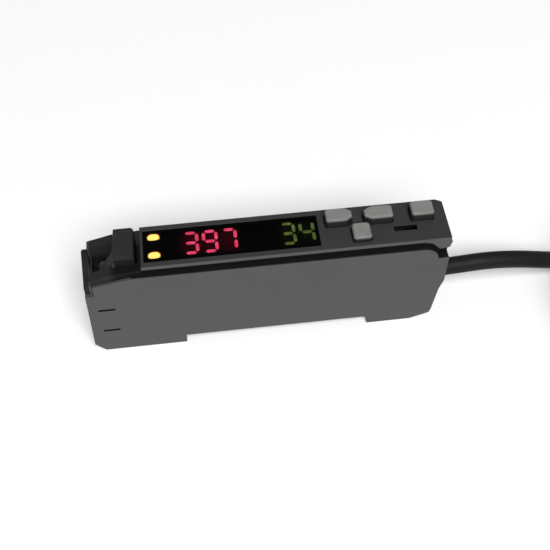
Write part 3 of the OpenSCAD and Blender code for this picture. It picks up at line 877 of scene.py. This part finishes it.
@dataclass
class Studio:
    """Camera, floor and lights of the photograph."""

    stand: Point = (-0.010118, -0.097969, 0.149760)
    aim: Point = (0.001933, 0.0, 0.012212)
    field_deg: float = 34.04
    nearest: float = 0.001
    floor_half: float = 3.0
    floor_tone: Colour = (0.9, 0.9, 0.9)
    fibre: float = 0.01
    sky: float = 0.2
    box_place: Point = (0.11, -0.93, 1.31)
    box_aim: Point = (0.0, 0.0, 0.01)
    box_size: tuple[float, float] = (0.95, 0.75)
    box_watts: float = 33.0

    @staticmethod
    def _link(name: str, data: bpy.types.ID) -> bpy.types.Object:
        """Puts new data into the scene as an object."""
        thing = bpy.data.objects.new(name, data)
        bpy.context.scene.collection.objects.link(thing)
        return thing

    @staticmethod
    def _face(thing: bpy.types.Object, place: Point, aim: Point) -> None:
        """Stands an object at a place so that it faces a point.

        Args:
            thing: The camera or light.
            place: Where it stands.
            aim: The point that it faces.
        """
        thing.location = place
        thing.rotation_mode = "QUATERNION"
        thing.rotation_quaternion = (Vector(aim) - Vector(place)).to_track_quat("-Z", "Y")

    def make_camera(self) -> bpy.types.Object:
        """Sets up the camera.

        Returns:
            The camera.
        """
        data = bpy.data.cameras.new("camera")
        data.angle = math.radians(self.field_deg)
        data.clip_start = self.nearest
        camera = self._link("camera", data)
        self._face(camera, self.stand, self.aim)
        bpy.context.scene.camera = camera
        return camera

    def make_floor(self) -> bpy.types.Object:
        """Lays the pale floor.

        Returns:
            The floor.
        """
        mesh = bpy.data.meshes.new("floor")
        h = self.floor_half
        mesh.from_pydata([(-h, -h, 0), (h, -h, 0), (h, h, 0), (-h, h, 0)], [], [(0, 1, 2, 3)])
        floor = self._link("floor", mesh)
        graph = Graph("floor_paper")
        point, *_ = graph.place()
        fibres = graph.noise(point, self.fibre)
        graph.feed(
            Base_Color=graph.mix(fibres, shade(self.floor_tone, 0.99), self.floor_tone),
            Roughness=0.9,
            Specular_IOR_Level=0.0,
        )
        mesh.materials.append(graph.material)
        return floor

    def make_lights(self) -> None:
        """Hangs the softbox and sets the even surroundings."""
        world = bpy.data.worlds.new("surroundings")
        world.use_nodes = True
        ground = world.node_tree.nodes["Background"]
        ground.inputs["Color"].default_value = (1.0, 1.0, 1.0, 1.0)
        ground.inputs["Strength"].default_value = self.sky
        bpy.context.scene.world = world
        bpy.context.scene.view_settings.view_transform = "Standard"
        data = bpy.data.lights.new("main_box", "AREA")
        data.shape = "RECTANGLE"
        data.size, data.size_y = self.box_size
        data.energy = self.box_watts
        self._face(self._link("main_box", data), self.box_place, self.box_aim)


@dataclass
class SignalCable:
    """Fixed cable: free lead, stored coil, strap and stripped leads."""

    diameter: float = 0.0034
    length: float = 2.0
    rings: int = 3
    levels: int = 6
    steps: int = 36
    start_deg: float = 90.0
    tail_steps: int = 24
    strap_turn: float = -72.0
    strap_width: float = 0.008
    strap_thick: float = 0.0005
    strap_steps: int = 8
    corner_steps: int = 5
    crease_deg: float = 40.0
    selvedge: float = 0.00012
    selvedge_deg: float = 60.0
    lead_radius: float = 0.0005
    lead_turn: float = 62.0
    lead_stagger: float = 4.0
    lead_spacing: float = 0.0012
    lead_gap: float = 0.00005
    lead_steps: int = 12
    lead_tuck: float = 2.0
    tip_turn: float = 8.0
    tip_steps: int = 3
    tip_tuck: float = 1.0
    strand_share: float = 0.6

    # Where on its turn each ring climbs, and where it crosses to the next ring, as shares of a turn
    climbs: tuple[tuple[float, float], ...] = ((0.871, 0.992), (0.525, 0.675), (0.008, 0.229))
    crossings: tuple[tuple[float, float], ...] = ((0.675, 0.871), (0.229, 0.525))

    # The route of part.scad in metres, from the terminal to the coil, and its run into the outer ring
    route: tuple[Point, ...] = (
        (0.02921, 0.0, 0.0094), (0.03301, 0.0, 0.0094), (0.037, 0.0, 0.0096), (0.041, 0.0, 0.0099),
        (0.045, 0.0001, 0.0098), (0.05, 0.00035, 0.0089), (0.055, 0.0008, 0.0073),
        (0.06, 0.0015, 0.0054), (0.0643, 0.0023, 0.0038), (0.068, 0.00305, 0.00275),
        (0.0706, 0.00355, 0.00235), (0.075, 0.00395, 0.00225), (0.08, 0.004, 0.00225),
    )

    def __post_init__(self) -> None:
        """Takes the coil's place from its CAD solid."""
        low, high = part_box("cable_coil")
        self.middle = ((low.x + high.x) / 2, (low.y + high.y) / 2)
        self.outer = (high.x - low.x) / 2
        self.base = low.z
        self.pitch = (high.z - low.z) / self.levels
        self.exit = (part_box("main_case")[1].x, 0.0, self.route[1][2])

    def _radius(self, ring: float) -> float:
        """Radius of a ring of the coil, counted from outside."""
        return self.outer - (ring + 0.5) * self.pitch

    def _height(self, level: float) -> float:
        """Height of a level's middle line, counted from the floor."""
        return self.base + (level + 0.5) * self.pitch

    def _on_coil(self, degrees: float, radius: float, height: float) -> Point:
        """A point on the coil."""
        a = math.radians(degrees)
        return (self.middle[0] + radius * math.cos(a), self.middle[1] + radius * math.sin(a), height)

    def _arc(self, start: float, turn: float, steps: int, radius: float, height: float) -> list[Point]:
        """Works out a level arc round the coil, clockwise.

        Args:
            start: Where it starts, in degrees.
            turn: How far it turns, in degrees.
            steps: How many steps it has.
            radius: Its radius.
            height: Its height.

        Returns:
            The arc's points.
        """
        return [self._on_coil(start - turn * k / steps, radius, height) for k in range(steps + 1)]

    def _step_deg(self, step: float) -> float:
        """Angle of a step of a turn, clockwise from the coil's start."""
        return self.start_deg - 360 * step / self.steps

    def _turn(self, ring: int, level: int, next_ring: int, next_level: int) -> list[Point]:
        """Works out one turn, with its step to the next ring or level.

        The inner rings move first, so that each turn has left its place before the next one comes.

        Args:
            ring: The turn's ring, counted from outside.
            level: The turn's level, from the floor.
            next_ring: The next turn's ring.
            next_level: The next turn's level.

        Returns:
            The turn's points, without its last one.
        """
        start, end = self.climbs[ring] if next_ring == ring else self.crossings[ring]
        points = []
        for i in range(self.steps):
            share = min(max((i / self.steps - start) / (end - start), 0.0), 1.0)
            share = 0.5 - 0.5 * math.cos(math.pi * share)
            radius = self._radius(ring + (next_ring - ring) * share)
            height = self._height(level + (next_level - level) * share)
            points.append(self._on_coil(self._step_deg(i), radius, height))
        return points

    def coil_points(self) -> list[Point]:
        """Works out the coil's middle line, ring by ring from outside.

        Returns:
            The points of all turns, up to the cable's end in the inner ring.
        """
        points: list[Point] = []
        for ring in range(self.rings):
            levels = list(range(self.levels))
            if ring % 2 == 1:
                levels.reverse()
            for level, next_level in zip(levels, levels[1:]):
                points += self._turn(ring, level, ring, next_level)
            if ring < self.rings - 1:
                points += self._turn(ring, levels[-1], ring + 1, levels[-1])
        return points[:len(points) - self.steps + self.tail_steps + 1]

    @staticmethod
    def _tube(
        name: str, points: Sequence[Point], radius: float, finish: Finish, detail: int,
    ) -> bpy.types.Object:
        """Makes a round tube on a smooth curve.

        Args:
            name: The piece's name.
            points: The curve's points.
            radius: The tube's radius.
            finish: Its finish.
            detail: How finely it is rounded.

        Returns:
            The tube.
        """
        data = bpy.data.curves.new(name, "CURVE")
        data.dimensions = "3D"
        data.bevel_depth = radius
        data.bevel_resolution = detail
        data.resolution_u = 4
        data.use_fill_caps = True
        spline = data.splines.new("BEZIER")
        spline.bezier_points.add(len(points) - 1)
        for knot, point in zip(spline.bezier_points, points):
            knot.co = point
            knot.handle_left_type = knot.handle_right_type = "AUTO"
        data.materials.append(finish.material())
        tube = bpy.data.objects.new(name, data)
        bpy.context.scene.collection.objects.link(tube)
        return tube

    def make_leads(self) -> list[bpy.types.Object]:
        """Lays the four stripped leads in the coil's gap.

        Returns:
            The leads and their bare tips.
        """
        skins = {
            "brown": (0.09, 0.03, 0.012), "blue": (0.012, 0.05, 0.3),
            "black": (0.012, 0.012, 0.012), "orange": (0.65, 0.16, 0.015),
        }
        floor = self._height(self.levels - 1.5) + self.lead_gap
        tail = self._step_deg(self.tail_steps)
        pieces = []
        for i, (name, colour) in enumerate(skins.items()):
            side, upper = i // 2 - 0.5, i % 2
            radius = self._radius(self.rings - 1) + side * self.lead_spacing
            height = floor + self.lead_radius + upper * self.lead_spacing
            turn = self.lead_turn - self.lead_stagger * i
            line = self._arc(tail + self.lead_tuck, turn + self.lead_tuck, self.lead_steps, radius, height)
            lead = self._tube(f"lead_{name}", line, self.lead_radius, LeadSkin(f"skin_{name}", colour), 3)
            line = self._arc(tail - turn + self.tip_tuck, self.tip_turn, self.tip_steps, radius, height)
            tip = self._tube(f"tip_{name}", line, self.lead_radius * self.strand_share, SPRING_STEEL, 2)
            pieces += [lead, tip]
        return pieces

    def make_strap(self) -> bpy.types.Object:
        """Wraps the strap round the coil's section.

        Returns:
            The strap.
        """
        inner = self.outer - self.rings * self.pitch
        section = self._section()
        skins = (section, self._grown(section))
        mesh = bpy.data.meshes.new("coil_strap")
        build = bmesh.new()
        centre = self.strap_turn + math.degrees(self.strap_width / (inner + self.outer))
        rows = []
        for i in range(self.strap_steps + 1):
            offset = self.strap_width * (i / self.strap_steps - 0.5)
            row = []
            for skin in skins:
                turns = [centre + math.degrees(math.asin(offset / r)) for r, _ in skin]
                row.append([build.verts.new(self._on_coil(a, r, z)) for a, (r, z) in zip(turns, skin)])
            rows.append(row)
        sides = len(section)
        for (in_a, out_a), (in_b, out_b) in zip(rows, rows[1:]):
            for k in range(sides):
                j = (k + 1) % sides
                build.faces.new((out_a[k], out_a[j], out_b[j], out_b[k]))
                build.faces.new((in_a[j], in_a[k], in_b[k], in_b[j]))
        for inside, outside in (rows[0], rows[-1]):
            for k in range(sides):
                j = (k + 1) % sides
                build.faces.new((inside[k], inside[j], outside[j], outside[k]))
        bmesh.ops.recalc_face_normals(build, faces=build.faces)
        build.to_mesh(mesh)
        build.free()
        mesh.shade_smooth()
        mesh.set_sharp_from_angle(angle=math.radians(self.crease_deg))
        mesh.materials.append(STRAP.material())
        strap = bpy.data.objects.new("coil_strap", mesh)
        bpy.context.scene.collection.objects.link(strap)
        bevel = strap.modifiers.new("selvedge", "BEVEL")
        bevel.width = self.selvedge
        bevel.segments = 2
        bevel.limit_method = "ANGLE"
        bevel.angle_limit = math.radians(self.selvedge_deg)
        return strap

    def _section(self) -> list[tuple[float, float]]:
        """Works out the coil's section, rounded by the turns in its corners.

        Returns:
            The section's points as radius and height, anticlockwise.
        """
        r = self.pitch / 2
        left, right = self.outer - self.rings * self.pitch + r, self.outer - r
        low, high = self.base + r, self.base + self.levels * self.pitch - r
        points = []
        for quarter, (x, z) in enumerate([(right, high), (left, high), (left, low), (right, low)]):
            for k in range(self.corner_steps + 1):
                a = math.pi / 2 * (quarter + k / self.corner_steps)
                points.append((x + r * math.cos(a), z + r * math.sin(a)))
        return points

    def _grown(self, section: Sequence[tuple[float, float]]) -> list[tuple[float, float]]:
        """Grows the coil's section by the strap's thickness.

        Args:
            section: The section's points as radius and height, anticlockwise.

        Returns:
            The grown points.
        """
        grown = []
        for i, corner in enumerate(section):
            before, after = section[i - 1], section[(i + 1) % len(section)]
            a = Vector((corner[0] - before[0], corner[1] - before[1])).normalized()
            b = Vector((after[0] - corner[0], after[1] - corner[1])).normalized()
            normal = Vector((a.y + b.y, -a.x - b.x)).normalized()
            reach = self.strap_thick / max(normal.dot(Vector((a.y, -a.x))), 0.3)
            grown.append((corner[0] + normal.x * reach, corner[1] + normal.y * reach))
        return grown

    def make(self) -> None:
        """Makes the cable with what lies on it."""
        line = [*self.route, *self.coil_points()]
        cable = self._tube("signal_cable", line, self.diameter / 2, JACKET, 4)
        leads = self.make_leads()
        strap = self.make_strap()
        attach(cable, Body.HOUSING.value)
        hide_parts("cable_lead", "cable_coil")
        for piece in [*leads, strap]:
            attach(piece, Body.HOUSING.value)
        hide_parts("coil_tie")
        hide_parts("lead_wires")
        LOG.info("laid the cable with %d points", len(line))


@dataclass
class GreyCase(Dresser):
    """Case, side cover with its inked marks, chassis frame and cable grommet."""

    marks: tuple[tuple[float, float], ...] = ((-0.02946, 0.00675), (-0.02946, 0.0134))

    def make(self) -> None:
        """Dresses the case."""
        self.dress("main_case", CASE_GREY, Edge.CRISP)
        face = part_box("side_cover")[0].y
        inked = InkedPlastic(
            "cover_plastic", CASE_COLOUR, 0.5, tone=0.05, specular=0.3, marks=self.marks, face=face,
        )
        self.dress("side_cover", inked, Edge.CRISP)
        # Painted light on the head's cheeks and a painted highlight on its end wall's rim.
        head = FramePlastic(
            "head_plastic", FRAME_COLOUR, 0.4, tone=0.12, specular=0.03,
            end=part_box("chassis_frame")[0].x, panel=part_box("top_panel")[0].x,
        )
        self.dress("chassis_frame", head, Edge.SHARP)
        self.dress("cable_grommet", JACKET, Edge.CRISP)


@dataclass
class DisplayPanel(Dresser):
    """Top panel with its window, the two displays and the two lamps."""

    digits: int = 4
    red_lit: tuple[int, ...] = (1, 2, 3)
    red_glow: Colour = (0.05, 0.001, 0.006)
    green_lit: tuple[int, ...] = (2, 3)
    green_glow: Colour = (0.005, 0.007, 0.002)

    def _centres(self, node: str, lit: Sequence[int]) -> tuple[float, ...]:
        """Works out where the lit digits of a display are.

        Args:
            node: The display's node.
            lit: Which of its places are lit, from the left.

        Returns:
            The digits' middles along X.
        """
        low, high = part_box(node)
        pitch = (high.x - low.x) / self.digits
        return tuple(low.x + (i + 0.5) * pitch for i in lit)

    def _dress_lamp(self, node: str) -> tuple[float, float]:
        """Dresses one lamp.

        Args:
            node: The lamp's node.

        Returns:
            The lamp's middle in plan.
        """
        low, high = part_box(node)
        middle = ((low.x + high.x) / 2, (low.y + high.y) / 2)
        half = ((high.x - low.x) / 2, (high.y - low.y) / 2)
        self.dress(node, LampGuide(f"{node}_glow", middle=middle, half=half))
        return middle

    def make(self) -> None:
        """Dresses the panel and what is lit under its window."""
        low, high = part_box("top_panel")
        # The panel's paler lip is a painted highlight and its black opening walls are painted shade.
        panel = PanelPlastic("panel_plastic", PANEL_COLOUR, 0.42, low=tuple(low), high=tuple(high))
        self.dress("top_panel", panel, Edge.CRISP)
        lamps = (self._dress_lamp("output_lamp_rear"), self._dress_lamp("output_lamp_front"))
        displays = tuple((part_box(n)[0].x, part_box(n)[1].x) for n in ("red_display", "green_display"))
        low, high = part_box("red_digits")
        middle = (low.y + high.y) / 2
        red_digits = self._centres("red_display", self.red_lit)
        self.dress("red_display", DisplayFace("red_face", self.red_glow, red_digits, middle))
        green_digits = self._centres("green_display", self.green_lit)
        self.dress("green_display", DisplayFace("green_face", self.green_glow, green_digits, middle))
        self.dress("red_digits", RED_BARS)
        self.dress("green_digits", GREEN_BARS)
        self.dress("display_window", WindowPlate("window_plate", lamps=lamps, displays=displays))


@dataclass
class KeyField(Dresser):
    """Four keys, the slide switch and what they press."""

    def make(self) -> None:
        """Dresses the keys and their switches."""
        for name in ("left", "right", "mode", "set"):
            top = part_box(f"{name}_key")[1].z
            # Each key's pale top is painted light and its dark sides painted shade.
            self.dress(f"{name}_key", KeyCap(f"{name}_cap", top), Edge.SOFT)
            self.dress(f"{name}_switch", CHIP_BLACK, Edge.CRISP)
            self.dress(f"{name}_plunger", SOCKET_WHITE, Edge.CRISP)
        self.dress("slide_switch", SPRING_STEEL)
        self.dress("slide_knob", FRAME_BLACK, Edge.CRISP)


@dataclass
class FibreHead(Dresser):
    """Lock lever with its pin and clamp, the port blocks and their light parts."""

    knob_length: float = 0.0035

    def make(self) -> None:
        """Dresses the head."""
        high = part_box("lock_lever")[1]
        # The lever's pale top is painted light, its dark sides painted shade and its paler arm painted
        # light.
        knob = LeverPlastic(
            "lever_plastic", high.z, painted_crown_light=(0.0245, 0.0245, 0.0245), painted_skirt_shade=(0.0095, 0.0095, 0.0095),
            fade=(0.0006, 0.0001), specular=0.04, arm_from=high.x - self.knob_length,
        )
        self.dress("lock_lever", knob, Edge.MOULDED)
        self.dress("lever_pin", SPRING_STEEL)
        self.dress("fibre_clamp", SPRING_STEEL, Edge.SHARP)
        self.dress("emitter_holder", FRAME_BLACK, Edge.SHARP)
        self.dress("receiver_holder", FRAME_BLACK, Edge.SHARP)
        self.dress("emitter_led", LED_EPOXY)
        self.dress("receiver_diode", DIODE_EPOXY)


@dataclass
class Boards(Dresser):
    """Two boards and the parts on them."""

    def make(self) -> None:
        """Dresses the boards."""
        for node in ("display_board", "main_board"):
            self.dress(node, SOLDER_MASK)
        for node in ("controller_chip", "output_driver", "supply_capacitor"):
            self.dress(node, CHIP_BLACK, Edge.CRISP)
        for node in ("board_connector", "cable_terminal"):
            self.dress(node, SOCKET_WHITE, Edge.CRISP)


@dataclass
class RailFoot(Dresser):
    """Sprung hook under the cable end."""

    travel: float = 0.0015

    def make(self) -> None:
        """Dresses the hook and its spring, and gives the spring a mesh of its own, as the real spring
        shortens towards the case when the hook slides; nothing here slides it.
        """
        self.dress("rail_hook", FRAME_BLACK, Edge.CRISP)
        spring = self.dress("hook_spring", SPRING_STEEL)
        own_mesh(spring)


def main() -> None:
    """Builds the scene in order."""
    logging.basicConfig(level=logging.INFO, format="%(name)s: %(message)s")
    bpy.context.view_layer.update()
    studio = Studio()
    studio.make_camera()
    SignalCable().make()
    for assembly in (GreyCase(), DisplayPanel(), KeyField(), FibreHead(), Boards(), RailFoot()):
        assembly.make()
    studio.make_floor()
    studio.make_lights()


if __name__ == "__main__":
    main()
